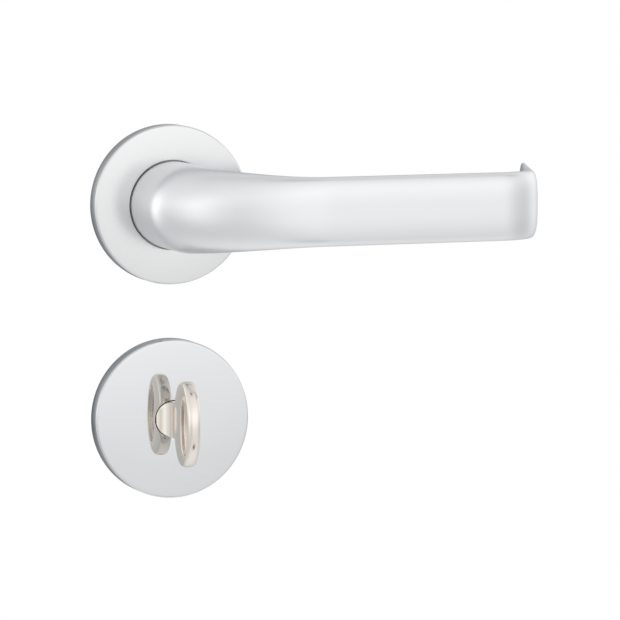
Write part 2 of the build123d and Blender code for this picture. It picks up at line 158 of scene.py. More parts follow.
class TurnSizes(bpy.types.PropertyGroup):
    """Sizes and finish of the thumb turn."""

    foot_r: length("Foot radius", "Radius of the round foot", 6.0 * MM)
    out: length("Projection", "Rose face to the front of the wing", 23.9 * MM)
    wing_h: length("Wing height", "Height of the oval wing", 28.0 * MM)
    wing_d: length("Wing depth", "Back edge to front edge of the wing", 17.0 * MM)
    wing_t: length("Wing thickness", "Thickness of the wing", 4.3 * MM)
    wing_full: number("Wing fullness", "2 is an ellipse, more is squarer", 2.1)
    field_h: length("Field height", "Height of the sunk field", 19.6 * MM)
    field_d: length("Field depth", "Back edge to front edge of the sunk field", 7.4 * MM)
    forward: length("Field forward", "The field's middle in front of the wing's middle", 3.2 * MM)
    sink: length("Sink", "How deep the field is sunk", 1.4 * MM)
    waist: length("Waist", "Thickness of the neck at its waist", 2.8 * MM)
    scoop: length("Scoop", "Length over which the hub narrows", 4.4 * MM)
    lip: length("Foot lip", "Round part of the foot in front of the rose", 0.6 * MM)
    reach_in: length("Neck in wing", "How far the neck reaches into the wing", 2.4 * MM)
    foot_edge: length("Foot edge", "Softened edge at the back of the foot", 0.2 * MM)
    metal: colour("Metal", "Colour of the polished nickel", (0.80, 0.745, 0.68))
    roughness: number("Roughness", "Blur of the polish", 0.035)


class FixingSizes(bpy.types.PropertyGroup):
    """Sizes of the fixing screws."""

    shaft_r: length("Shaft radius", "Outside radius of the thread", 2.0 * MM)
    head_r: length("Head radius", "Radius of the screw head", 3.5 * MM)
    head_t: length("Head height", "Height of the screw head", 2.0 * MM)
    pitch: length("Pitch", "Pitch of the thread", 0.7 * MM)
    depth: length("Thread depth", "Depth of the thread", 0.38 * MM)
    plain_r: length("Neck radius", "Radius of the plain part inside the base plate", 1.85 * MM)
    plain_out: length("Neck length", "The plain part ends this far behind the door's face", 1.0 * MM)
    head_edge: length("Head edge", "Softened edge of the head", 0.5 * MM)
    tip_len: length("Tip length", "Length of the screw's tapered end", 0.5 * MM)
    tip_in: length("Tip taper", "How much the end is thinner than the thread's root", 0.3 * MM)


class StageSizes(bpy.types.PropertyGroup):
    """Camera and floor."""

    azimuth: bpy.props.FloatProperty(name="Azimuth", description="Camera to the left of the axis",
                                     default=math.radians(18.8), unit="ROTATION")
    elevation: bpy.props.FloatProperty(name="Elevation", description="Camera above the horizon",
                                       default=math.radians(5.4), unit="ROTATION")
    distance: length("Distance", "Camera to its target", 1.6)
    target_x: length("Target X", "Where the camera looks, along the grip", 49.4 * MM)
    target_z: length("Target Z", "Where the camera looks, up and down", -36.4 * MM)
    lens: number("Lens", "Focal length in millimetres on a 36 mm sensor", 281.4)
    floor_z: length("Floor", "Height of the floor", -0.3)


# ---- shader maths -------------------------------------------------------------
class Field:
    """A value or colour in a node tree. Arithmetic on it adds Math nodes."""

    def __init__(self, finish, socket):
        self.finish, self.socket = finish, socket

    def math(self, operation, *values):
        return self.finish.node("ShaderNodeMath", {"operation": operation}, dict(enumerate(values)))

    def __add__(self, other):
        return self.math("ADD", self, other)

    def __sub__(self, other):
        return self.math("SUBTRACT", self, other)

    def __mul__(self, other):
        return self.math("MULTIPLY", self, other)

    def __rsub__(self, other):
        return self.math("SUBTRACT", other, self)

    def __pow__(self, other):
        return self.math("POWER", self, other)

    def __rpow__(self, other):
        return self.math("POWER", other, self)

    __radd__ = __add__
    __rmul__ = __mul__


class Finish:
    """Builds one node tree: a material, or the world."""

    def __init__(self, tree):
        self.tree = tree
        tree.nodes.clear()

    def node(self, kind, settings=None, values=None, out=0):
        made = self.tree.nodes.new(kind)
        for key, value in (settings or {}).items():
            setattr(made, key, value)
        for key, value in (values or {}).items():
            self.feed(made.inputs[key], value)
        return Field(self, made.outputs[out]) if made.outputs else made

    def feed(self, socket, value):
        if isinstance(value, Field):
            self.tree.links.new(value.socket, socket)
        elif socket.type == "RGBA" and len(value) == 3:
            socket.default_value = (*value, 1.0)
        else:
            socket.default_value = value

    def place(self):
        return self.node("ShaderNodeTexCoord", out="Object")

    def noise(self, scale, detail=2.0, stretch=(1, 1, 1), rough=0.5):
        at = self.node("ShaderNodeMapping", None, {"Vector": self.place(), "Scale": stretch})
        return self.node("ShaderNodeTexNoise", None,
                         {"Vector": at, "Scale": scale, "Detail": detail, "Roughness": rough}, "Fac")

    def mix(self, share, first, second):
        return self.node("ShaderNodeMix", {"data_type": "RGBA"}, {0: share, 6: first, 7: second}, 2)

    def bump(self, height, distance, strength=1.0):
        return self.node("ShaderNodeBump", None,
                         {"Height": height, "Distance": distance, "Strength": strength})


def new_finish(name):
    material = bpy.data.materials.new(name)
    material.use_nodes = True
    return material, Finish(material.node_tree)


def close_finish(finish, **inputs):
    """Adds the surface shader, with its inputs named as on the node, spaces as underscores."""
    values = {key.replace("_", " "): value for key, value in inputs.items()}
    shader = finish.node("ShaderNodeBsdfPrincipled", None, values)
    finish.node("ShaderNodeOutputMaterial", None, {"Surface": shader})


def shade(tint, factor):
    return tuple(min(1.0, c * factor) for c in tint)


def satin_metal(name, tint, roughness, grain):
    """Fine blasted and plated metal: soft cloudy tone, a little grain, faint uneven blur."""
    material, finish = new_finish(name)
    cloud = finish.noise(60.0, 3.0)
    grit = finish.noise(2600.0, 2.0)
    tone = finish.mix(cloud, shade(tint, 0.985), shade(tint, 1.01))
    blur = roughness + (cloud - 0.5) * 0.05 + (grit - 0.5) * 0.06
    close_finish(finish, Base_Color=tone, Metallic=1.0, Roughness=blur,
                 Normal=finish.bump(grit, 0.004 * MM * grain, 0.6))
    return material


def bright_metal(name, tint, roughness):
    """Polished plate: nearly a mirror, with faint polishing haze."""
    material, finish = new_finish(name)
    haze = finish.noise(45.0, 4.0)
    fine = finish.noise(900.0, 2.0)
    tone = finish.mix(haze, shade(tint, 0.99), shade(tint, 1.01))
    blur = roughness + haze * roughness * 0.6 + fine * roughness * 0.3
    close_finish(finish, Base_Color=tone, Metallic=1.0, Roughness=blur,
                 Normal=finish.bump(haze, 0.002 * MM, 0.5))
    return material


def cast_zinc():
    material, finish = new_finish("cast_zinc")
    cloud = finish.noise(180.0, 4.0)
    grit = finish.noise(1500.0, 3.0)
    tone = finish.mix(cloud, (0.42, 0.43, 0.45), (0.56, 0.57, 0.59))
    close_finish(finish, Base_Color=tone, Metallic=0.9, Roughness=0.42 + cloud * 0.2,
                 Normal=finish.bump(grit, 0.02 * MM))
    return material


def plated_steel():
    """Zinc plated steel, faintly drawn along its length."""
    material, finish = new_finish("plated_steel")
    drawn = finish.noise(700.0, 3.0, stretch=(1, 0.06, 1))
    cloud = finish.noise(120.0, 2.0)
    tone = finish.mix(cloud, (0.56, 0.57, 0.60), (0.68, 0.69, 0.70))
    close_finish(finish, Base_Color=tone, Metallic=1.0, Roughness=0.24 + drawn * 0.16,
                 Normal=finish.bump(drawn, 0.012 * MM))
    return material


def spring_steel():
    material, finish = new_finish("spring_steel")
    drawn = finish.noise(900.0, 2.0)
    tone = finish.mix(drawn, (0.30, 0.31, 0.33), (0.45, 0.45, 0.47))
    close_finish(finish, Base_Color=tone, Metallic=1.0, Roughness=0.28 + drawn * 0.12)
    return material


def black_oxide():
    material, finish = new_finish("black_oxide")
    cloud = finish.noise(900.0, 3.0)
    tone = finish.mix(cloud, (0.018, 0.018, 0.020), (0.045, 0.045, 0.05))
    close_finish(finish, Base_Color=tone, Metallic=0.6, Roughness=0.38 + cloud * 0.18,
                 Normal=finish.bump(cloud, 0.01 * MM))
    return material


def machined_brass():
    material, finish = new_finish("machined_brass")
    turned = finish.noise(1100.0, 2.0)
    tone = finish.mix(turned, (0.60, 0.44, 0.18), (0.74, 0.57, 0.27))
    close_finish(finish, Base_Color=tone, Metallic=1.0, Roughness=0.22 + turned * 0.14)
    return material


def moulded_nylon():
    material, finish = new_finish("moulded_nylon")
    grit = finish.noise(1300.0, 3.0)
    tone = finish.mix(grit, (0.70, 0.69, 0.64), (0.78, 0.77, 0.73))
    close_finish(finish, Base_Color=tone, Roughness=0.48 + grit * 0.12, Normal=finish.bump(grit, 0.01 * MM))
    return material


def closed_foam():
    """Black closed-cell foam: a fine pitted skin."""
    material, finish = new_finish("closed_foam")
    cells = finish.node("ShaderNodeTexVoronoi", None, {"Vector": finish.place(), "Scale": 2200.0}, "Distance")
    tone = finish.mix(cells, (0.010, 0.010, 0.011), (0.035, 0.035, 0.037))
    close_finish(finish, Base_Color=tone, Roughness=0.82 + cells * 0.12, Normal=finish.bump(cells, 0.05 * MM))
    return material


# ---- mesh helpers -------------------------------------------------------------
def finish_mesh(name, build, sharp=35.0):
    """Makes a closed, outward-facing, smooth-shaded object from a bmesh."""
    bmesh.ops.remove_doubles(build, verts=build.verts, dist=1e-7)
    bmesh.ops.recalc_face_normals(build, faces=build.faces)
    mesh = bpy.data.meshes.new(name)
    build.to_mesh(mesh)
    build.free()
    mesh.polygons.foreach_set("use_smooth", [True] * len(mesh.polygons))
    mesh.set_sharp_from_angle(angle=math.radians(sharp))
    piece = bpy.data.objects.new(name, mesh)
    bpy.context.scene.collection.objects.link(piece)
    return piece


def skin(build, rings):
    """Joins equal rings of points into a tube, closed with a face at each end."""
    rows = [[build.verts.new(p) for p in ring] for ring in rings]
    count = len(rows[0])
    for low, high in zip(rows, rows[1:]):
        for i in range(count):
            j = (i + 1) % count
            build.faces.new((low[i], low[j], high[j], high[i]))
    build.faces.new(rows[0])
    build.faces.new(rows[-1])


def take_mesh(piece):
    """The piece's mesh, to build on. The piece itself goes."""
    build = bmesh.new()
    build.from_mesh(piece.data)
    bpy.data.objects.remove(piece)
    return build


def circle_ring(radius, y, z=0.0, count=96, flat=None):
    """A ring of points round the Y axis, its sides cut straight at x = +-flat."""
    ring = []
    for i in range(count):
        turn = 2 * math.pi * i / count
        x = radius * math.cos(turn)
        if flat is not None:
            x = max(-flat, min(flat, x))
        ring.append(Vector((x, y, z + radius * math.sin(turn))))
    return ring


def cut(piece, tool):
    """Takes the tool's shape out of the piece, and removes the tool."""
    modifier = piece.modifiers.new("cut", "BOOLEAN")
    modifier.operation = "DIFFERENCE"
    modifier.solver = "EXACT"
    modifier.object = tool
    bake_modifiers(piece)
    bpy.data.objects.remove(tool)


def join(piece, other):
    """Adds the other shape to the piece, and removes the other."""
    modifier = piece.modifiers.new("join", "BOOLEAN")
    modifier.operation = "UNION"
    modifier.solver = "EXACT"
    modifier.object = other
    bake_modifiers(piece)
    bpy.data.objects.remove(other)


def bake_modifiers(piece):
    """Turns what the modifiers show into the piece's own mesh."""
    graph = bpy.context.evaluated_depsgraph_get()
    graph.update()
    result = bpy.data.meshes.new_from_object(piece.evaluated_get(graph))
    piece.modifiers.clear()
    old = piece.data
    piece.data = result
    result.name = piece.name
    if old.users == 0:
        bpy.data.meshes.remove(old)


def settle(piece, body, slot, material, *nodes):
    """Gives a finished piece its material and its body, and hides the nodes it stands for. The slot is not
    used.
    """
    piece.data.materials.clear()
    piece.data.materials.append(material)
    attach(piece, body)
    if nodes:
        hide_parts(*nodes)


# ---- node trees for repeated and turned pieces --------------------------------
class Tree:
    """A geometry node tree with named inputs."""

    def __init__(self, name, inputs):
        self.group = bpy.data.node_groups.new(name, "GeometryNodeTree")
        face = self.group.interface
        face.new_socket("Geometry", in_out="INPUT", socket_type="NodeSocketGeometry")
        self.ids = {}
        for key, kind in inputs.items():
            self.ids[key] = face.new_socket(key, in_out="INPUT", socket_type=kind).identifier
        face.new_socket("Geometry", in_out="OUTPUT", socket_type="NodeSocketGeometry")
        self.start = self.group.nodes.new("NodeGroupInput")

    def input(self, key):
        return self.start.outputs[key]

    def node(self, kind, settings=None, values=None, out=0):
        made = self.group.nodes.new(kind)
        for key, value in (settings or {}).items():
            setattr(made, key, value)
        for key, value in (values or {}).items():
            if isinstance(value, bpy.types.NodeSocket):
                self.group.links.new(value, made.inputs[key])
            else:
                made.inputs[key].default_value = value
        return made.outputs[out]

    def close(self, geometry):
        """Ends the tree: instances made real, then the material."""
        real = self.node("GeometryNodeRealizeInstances", None, {0: geometry})
        shown = self.node("GeometryNodeSetMaterial", None, {0: real, "Material": self.input("Material")})
        end = self.group.nodes.new("NodeGroupOutput")
        self.group.links.new(shown, end.inputs[0])

    def run(self, piece, values):
        """Puts the tree on a piece, sets its inputs and bakes the result into the piece's mesh."""
        modifier = piece.modifiers.new(self.group.name, "NODES")
        modifier.node_group = self.group
        for key, value in values.items():
            modifier[self.ids[key]] = value
        bake_modifiers(piece)
        return piece


def revolve_tree():
    """Turns a closed outline, drawn as radius and height, round the Y axis."""
    tree = Tree("revolve_outline", {"Segments": "NodeSocketInt", "Hub": "NodeSocketFloat",
                                    "Place": "NodeSocketVector", "Material": "NodeSocketMaterial"})
    outline = tree.node("GeometryNodeMeshToCurve", None, {0: tree.input("Geometry")})
    path = tree.node("GeometryNodeCurvePrimitiveCircle", None,
                     {"Resolution": tree.input("Segments"), "Radius": tree.input("Hub")})
    turned = tree.node("GeometryNodeCurveToMesh", None, {"Curve": path, "Profile Curve": outline})
    moved = tree.node("GeometryNodeTransform", None,
                      {"Geometry": turned, "Rotation": (math.pi / 2, 0, 0),
                       "Translation": tree.input("Place")})
    tree.close(moved)
    return tree


def pair_tree():
    """Sets two copies of a piece above and below an axis."""
    tree = Tree("pair_of_screws", {"Centres": "NodeSocketFloat", "Place": "NodeSocketVector",
                                   "Material": "NodeSocketMaterial"})
    half = tree.node("ShaderNodeMath", {"operation": "MULTIPLY"}, {0: tree.input("Centres"), 1: -0.5})
    start = tree.node("ShaderNodeCombineXYZ", None, {"Z": half})
    step = tree.node("ShaderNodeCombineXYZ", None, {"Z": tree.input("Centres")})
    line = tree.node("GeometryNodeMeshLine", None, {"Count": 2, "Start Location": start, "Offset": step})
    points = tree.node("GeometryNodeMeshToPoints", None, {0: line})
    copies = tree.node("GeometryNodeInstanceOnPoints", None,
                       {"Points": points, "Instance": tree.input("Geometry")})
    moved = tree.node("GeometryNodeTransform", None, {"Geometry": copies, "Translation": tree.input("Place")})
    tree.close(moved)
    return tree


# ---- roses --------------------------------------------------------------------
COVER_LIP = 0.2 * MM         # rounding of the hole's front edge
COVER_FOOT = 0.15 * MM       # rounding of the edge against the door


def arc(centre, radius, first, last, steps):
    """Points on an arc, angles in degrees."""
    points = []
    for i in range(steps + 1):
        turn = math.radians(first + (last - first) * i / steps)
        points.append((centre[0] + radius * math.cos(turn), centre[1] + radius * math.sin(turn)))
    return points


def cover_outline(hole_r, bevel, crown):
    """The pressed cover's wall, as radius and y: domed face, softened edge, rolled lip at the hole."""
    front, floor = -ROSE_T, BASE_FRONT
    lip = COVER_LIP
    foot = COVER_FOOT
    inner, outer = hole_r + lip, ROSE_R - bevel
    edge = front + crown + bevel
    points = arc((outer, edge), bevel, -90, 0, 8)
    points += arc((ROSE_R - foot, -foot), foot, 0, 90, 3)
    points += [(ROSE_R - COVER_WALL, 0.0), (ROSE_R - COVER_WALL, floor), (hole_r, floor)]
    points += arc((inner, front + lip), lip, 180, 270, 4)
    for i in range(1, 24):
        share = i / 24
        points.append((inner + (outer - inner) * share, front + crown * share * share))
    return points


def outline_piece(name, points, hub):
    """A closed outline as edges, its x counted from the hub radius."""
    mesh = bpy.data.meshes.new(name)
    count = len(points)
    mesh.from_pydata([(r - hub, y, 0.0) for r, y in points], [(i, (i + 1) % count) for i in range(count)], [])
    piece = bpy.data.objects.new(name, mesh)
    bpy.context.scene.collection.objects.link(piece)
    return piece


class LOCKSET_OT_roses(bpy.types.Operator):
    """Build both rose covers by turning their outline"""

    bl_idname = "lockset.roses"
    bl_label = "Rose Covers"

    def execute(self, context):
        sizes = context.scene.lockset_roses
        tree = revolve_tree()
        satin = satin_metal("satin_rose", sizes.satin, sizes.satin_roughness, 0.3)
        bright = bright_metal("bright_rose", sizes.bright, sizes.bright_roughness)
        covers = (
            ("upper_rose_shell", sizes.neck_r + sizes.neck_gap, 0.0, satin,
             "satin_rose", "upper_rose_cover"),
            ("lower_rose_shell", sizes.hub_r + sizes.hub_gap, TURN_Z, bright,
             "polished_rose", "lower_rose_cover"),
        )
        for name, hole_r, z, material, slot, node in covers:
            piece = outline_piece(name, cover_outline(hole_r, sizes.bevel, sizes.crown), ROSE_R)
            tree.run(piece, {"Segments": sizes.segments, "Hub": ROSE_R, "Place": (0.0, 0.0, z),
                             "Material": material})
            piece = finish_mesh(name, take_mesh(piece), 30.0)
            settle(piece, "trim", slot, material, node)
        return {"FINISHED"}


# ---- lever --------------------------------------------------------------------
def section(centre, across, half_t, half_h, fullness, count=112):
    """A superellipse ring in the plane of Z and the direction across."""
    ring = []
    for i in range(count):
        turn = 2 * math.pi * i / count
        c, s = math.cos(turn), math.sin(turn)
        reach = (abs(c) ** fullness + abs(s) ** fullness) ** (-1 / fullness)
        u, v = half_t * reach * c, half_h * reach * s
        ring.append(Vector((centre[0] + u * across[0], centre[1] + u * across[1], v)))
    return ring


def fan(inside, wide, deep, fullness, turn):
    """Middle and half thickness of a section that fans round a pivot.
    Turn runs from 0, across X, to a quarter turn, across Y."""
    c, s = math.cos(turn), math.sin(turn)
    reach = ((abs(c) / wide) ** fullness + (abs(s) / deep) ** fullness) ** (-1 / fullness)
    return (reach + inside) / 2, (reach - inside) / 2


def bend_pivot(sizes):
    """Middle of the bend between neck and grip, seen from above."""
    return Vector((sizes.neck_r + sizes.bend_r, -(sizes.out - sizes.grip_t - sizes.bend_r)))


def neck_rings(sizes):
    """The straight round neck, from the softened edge of its foot."""
    foot = BASE_FRONT - FOOT_GAP
    edge = sizes.foot_edge
    rings = []
    steps = 4
    for i in range(steps + 1):
        turn = math.pi / 2 * i / steps
        radius = sizes.neck_r - edge * (1 - math.sin(turn))
        rings.append(section((0, foot - edge * (1 - math.cos(turn))), (-1, 0), radius, radius, 2.0))
    steps = 17
    for i in range(1, steps):
        y = foot - edge + (bend_pivot(sizes).y - foot + edge) * i / steps
        rings.append(section((0, y), (-1, 0), sizes.neck_r, sizes.neck_r, 2.0))
    return rings


def bend_rings(sizes):
    """The bend, whose sections fan round its pivot and turn from round to flat."""
    pivot = bend_pivot(sizes)
    wide = 2 * sizes.neck_r + sizes.bend_r
    deep = sizes.grip_t + sizes.bend_r
    rings = []
    steps = 72
    for i in range(steps + 1):
        share = i / steps
        turn = (math.pi / 2 + sizes.lean) * share
        middle, half = fan(sizes.bend_r, wide, deep, sizes.bend_full, min(turn, math.pi / 2))
        c, s = math.cos(turn), math.sin(turn)
        fall = math.sin(math.pi / 2 * share ** sizes.taper)
        half_h = sizes.neck_r + (sizes.grip_h / 2 - sizes.neck_r) * fall
        full = 2 + (sizes.grip_full - 2) * share
        rings.append(section((pivot.x - middle * c, pivot.y - middle * s), (-c, -s), half, half_h, full))
    return rings


def grip_section(sizes, at, across, half_t, half_h):
    """A section of the grip, which leans back to the door about the bend's pivot."""
    pivot = bend_pivot(sizes)
    turned = Matrix.Rotation(sizes.lean, 2)
    place = pivot + turned @ (Vector(at) - pivot)
    return section(place, turned @ Vector(across), half_t, half_h, sizes.grip_full)


def tip_place(sizes, turn, past=0.0):
    """A place on the bend at the tip, or straight on past it, and the direction across the grip."""
    c, s = math.cos(turn), math.sin(turn)
    middle = sizes.tip_r - sizes.grip_t / 2
    x = sizes.reach - sizes.tip_r + middle * s + past * c
    y = -(sizes.out - sizes.tip_r) - middle * c + past * s
    return (x, y), (s, -c)


def grip_rings(sizes):
    """The straight grip and the bend at its tip."""
    half_t, half_h = sizes.grip_t / 2, sizes.grip_h / 2
    start, stop = bend_pivot(sizes).x, sizes.reach - sizes.tip_r
    line = -(sizes.out - half_t)
    rings = []
    steps = 48
    for i in range(1, steps):
        x = start + (stop - start) * i / steps
        rings.append(grip_section(sizes, (x, line), (0, -1), half_t, half_h))
    steps = 40
    for i in range(steps + 1):
        at, across = tip_place(sizes, sizes.tip_turn * i / steps)
        rings.append(grip_section(sizes, at, across, half_t, half_h))
    return rings


def return_rings(sizes):
    """The straight return after the tip: thinner and higher towards its rounded end."""
    soft = sizes.end_round
    straight = sizes.return_len - soft
    rings = []
    steps = 12
    for i in range(1, steps + 1):
        share = i / steps
        at, across = tip_place(sizes, sizes.tip_turn, straight * share)
        half_t = (sizes.grip_t + (sizes.return_t - sizes.grip_t) * share) / 2
        half_h = (sizes.grip_h + (sizes.return_h - sizes.grip_h) * share) / 2
        rings.append(grip_section(sizes, at, across, half_t, half_h))
    steps = 7
    for i in range(1, steps + 1):
        turn = math.pi / 2 * i / steps
        inset = soft * (1 - math.cos(turn))
        at, across = tip_place(sizes, sizes.tip_turn, straight + soft * math.sin(turn))
        rings.append(grip_section(sizes, at, across, sizes.return_t / 2 - inset, sizes.return_h / 2 - inset))
    return rings


def shank_rings(radius, start, flat, flat_from):
    """The turned bearing behind a neck, with the groove for its retaining ring."""
    groove = radius - RING_GROOVE
    levels = [(radius, start, None), (radius, flat_from, None), (radius, flat_from, flat),
              (radius, RING_FRONT, flat), (groove, RING_FRONT, flat), (groove, RING_BACK, flat),
              (radius, RING_BACK, flat), (radius, SHANK_END - SHANK_EDGE, flat),
              (radius - SHANK_EDGE, SHANK_END, flat)]
    return [circle_ring(r, y, flat=f) for r, y, f in levels]


def rod(radius, start, stop, axis="Y", at=(0, 0, 0), count=48):
    """A closed plain cylinder, used to cut holes."""
    build = bmesh.new()
    skin(build, [circle_ring(radius, start, count=count), circle_ring(radius, stop, count=count)])
    if axis == "Z":
        bmesh.ops.rotate(build, verts=build.verts, matrix=Matrix.Rotation(math.pi / 2, 3, "X"))
    bmesh.ops.translate(build, verts=build.verts, vec=Vector(at))
    return finish_mesh("cutter", build)


class LOCKSET_OT_lever(bpy.types.Operator):
    """Build the lever: round neck, bend, grip, return and shank"""

    bl_idname = "lockset.lever"
    bl_label = "Lever"

    def execute(self, context):
        sizes = context.scene.lockset_lever
        build = bmesh.new()
        skin(build, neck_rings(sizes) + bend_rings(sizes) + grip_rings(sizes) + return_rings(sizes))
        lever = finish_mesh("lever_body", build, 50.0)
        grub_low, grub_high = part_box("lever_grub_screw")
        radius = (grub_high.x - grub_low.x) / 2 + GRUB_GAP
        middle = (grub_low + grub_high) / 2
        hole = rod(radius, grub_high.z, -2 * sizes.neck_r, "Z", (middle.x, middle.y, 0.0))
        cut(lever, hole)
        build = take_mesh(lever)
        start = BASE_FRONT - FOOT_GAP - SHANK_SINK
        skin(build, shank_rings(SHANK_R, start, SHANK_FLAT, corner("lever_driver", 0, 1)))
        lever = finish_mesh("lever", build, 40.0)
        metal = satin_metal("satin_lever", sizes.metal, sizes.roughness, 0.5)
        settle(lever, "lever", "satin_lever", metal, "lever_handle")
        return {"FINISHED"}


# ---- thumb turn ---------------------------------------------------------------
def oval_ring(x, half_h, half_d, centre, fullness, count=128):
    """An upright oval in the plane of Y and Z."""
    ring = []
    for i in range(count):
        turn = 2 * math.pi * i / count
        c, s = math.cos(turn), math.sin(turn)
        reach = (abs(c) ** fullness + abs(s) ** fullness) ** (-1 / fullness)
        ring.append(Vector((x, centre[0] + half_d * reach * c, centre[1] + half_h * reach * s)))
    return ring


def wing_side(sizes):
    """Steps from the wing's edge to its sunk field: share of the way from the wing's outline to the
    field's outline, inset from that, and distance from the wing's middle plane."""
    half = sizes.wing_t / 2
    floor = half - sizes.sink
    return [
        (0.0, 0.0, 0.0), (0.0, 0.02 * MM, 0.30 * half), (0.0, 0.09 * MM, 0.52 * half),
        (0.0, 0.24 * MM, 0.72 * half), (0.0, 0.46 * MM, 0.86 * half), (0.0, 0.74 * MM, 0.95 * half),
        (0.05, 0.78 * MM, 0.985 * half), (0.12, 0.74 * MM, half), (0.93, 0.0, half),
        (0.97, 0.0, half - 0.05 * MM), (1.0, 0.02 * MM, half - 0.16 * MM),
        (1.0, 0.10 * MM, floor + 0.16 * MM), (1.0, 0.25 * MM, floor), (1.0, 0.6 * MM, floor),
    ]


def wing_ring(sizes, step, side):
    """One ring of the wing at a step of wing_side, on the side of +X or -X."""
    share, inset, x = step
    half_h = sizes.wing_h / 2 + (sizes.field_h - sizes.wing_h) / 2 * share - inset
    half_d = sizes.wing_d / 2 + (sizes.field_d - sizes.wing_d) / 2 * share - inset
    middle = -ROSE_T - sizes.out + sizes.wing_d / 2 - sizes.forward * share
    return oval_ring(side * x, half_h, half_d, (middle, TURN_Z), sizes.wing_full)


class LOCKSET_OT_thumb_turn(bpy.types.Operator):
    """Build the thumb turn: foot, waisted neck, oval wing and shank"""

    bl_idname = "lockset.thumb_turn"
    bl_label = "Thumb Turn"

    def execute(self, context):
        sizes = context.scene.lockset_turn
        steps = wing_side(sizes)
        rings = [wing_ring(sizes, step, -1) for step in reversed(steps)]
        rings += [wing_ring(sizes, step, 1) for step in steps[1:]]
        build = bmesh.new()
        skin(build, rings)
        wing = finish_mesh("wing", build, 30.0)
        join(wing, self.neck(sizes))
        build = take_mesh(wing)
        start = BASE_FRONT - FOOT_GAP - SHANK_SINK
        rings = shank_rings(TURN_SHANK_R, start, TURN_SHANK_R, 0.0)
        skin(build, [[p + Vector((0, 0, TURN_Z)) for p in ring] for ring in rings])
        piece = finish_mesh("thumb_turn_body", build, 30.0)
        metal = bright_metal("polished_nickel", sizes.metal, sizes.roughness)
        settle(piece, "turn", "polished_turn", metal, "thumb_turn")
        return {"FINISHED"}

    @staticmethod
    def neck(sizes):
        """A round foot with a hollow scooped out of each side, down to a thin web."""
        foot, web = sizes.foot_r, sizes.waist / 2
        start = BASE_FRONT - FOOT_GAP
        face = -ROSE_T
        stop = face - sizes.out + sizes.wing_d - sizes.reach_in
        lip = face - sizes.lip
        edge = sizes.foot_edge
        rings = []
        steps = 40
        levels = [(foot - edge, start), (foot, start - edge), (foot, lip)]
        for i in range(1, steps + 1):
            share = i / steps
            half = foot + (web - foot) * math.sin(math.pi / 2 * share) ** 0.9
            levels.append((half, lip - sizes.scoop * (1 - math.cos(math.pi / 2 * share)) ** 0.9))
        levels.append((web, stop))
        for half, y in levels:
            rings.append([p + Vector((0, 0, TURN_Z)) for p in circle_ring(foot, y, flat=half)])
        build = bmesh.new()
        skin(build, rings)
        return finish_mesh("neck", build, 30.0)


# ---- fixings ------------------------------------------------------------------
def screw_piece(sizes):
    """One pan-head screw on the Y axis with a rolled thread."""
    build = bmesh.new()
    head_front = BASE_FRONT
    head_back = head_front + sizes.head_t
    count, per_turn = 24, 8
    rings = [circle_ring(sizes.head_r - sizes.head_edge, head_front, count=count),
             circle_ring(sizes.head_r, head_front + sizes.head_edge, count=count),
             circle_ring(sizes.head_r, head_back, count=count),
             circle_ring(sizes.plain_r, head_back, count=count),
             circle_ring(sizes.plain_r, sizes.plain_out, count=count)]
    start, stop = sizes.plain_out, SCREW_OUT - sizes.tip_len
    steps = int((stop - start) / sizes.pitch * per_turn)
    for j in range(1, steps + 1):
        y = start + (stop - start) * j / steps
        ring = []
        for i in range(count):
            turn = 2 * math.pi * i / count
            phase = (y / sizes.pitch + i / count) % 1.0
            radius = sizes.shaft_r - sizes.depth * abs(2 * phase - 1) ** 1.4
            ring.append(Vector((radius * math.cos(turn), y, radius * math.sin(turn))))
        rings.append(ring)
    rings.append(circle_ring(sizes.shaft_r - sizes.depth - sizes.tip_in, SCREW_OUT, count=count))
    skin(build, rings)
    return finish_mesh("screw", build, 60.0)


class LOCKSET_OT_screws(bpy.types.Operator):
    """Build the fixing screws of both roses as pairs"""

    bl_idname = "lockset.screws"
    bl_label = "Fixing Screws"

    def execute(self, context):
        sizes = context.scene.lockset_fixings
        tree = pair_tree()
        material = plated_steel()
        for name, z, node in (("upper_screw_pair", 0.0, "upper_fixing_screws"),
                              ("lower_screw_pair", TURN_Z, "lower_fixing_screws")):
            piece = screw_piece(sizes)
            piece.name = name
            tree.run(piece, {"Centres": 2 * SCREW_HALF, "Place": (0.0, 0.0, z), "Material": material})
            settle(piece, "trim", "steel", material, node)
        return {"FINISHED"}


class LOCKSET_OT_fittings(bpy.types.Operator):
    """Give the fitted pieces of the frame their finishes"""

    bl_idname = "lockset.fittings"
    bl_label = "Fittings"

    def execute(self, context):
        finishes = {
            "zinc": cast_zinc(), "steel": plated_steel(), "black_steel": black_oxide(),
            "nylon": moulded_nylon(), "foam": closed_foam(), "spring_steel": spring_steel(),
            "brass": machined_brass(),
        }
        for entry in frame["record"]["subparts"]:
            node = frame["nodes"][entry["node"]]
            material = finishes.get(entry["material_slot"])
            if material is None:
                continue
            for slot in node.material_slots:
                slot.material = material
        return {"FINISHED"}


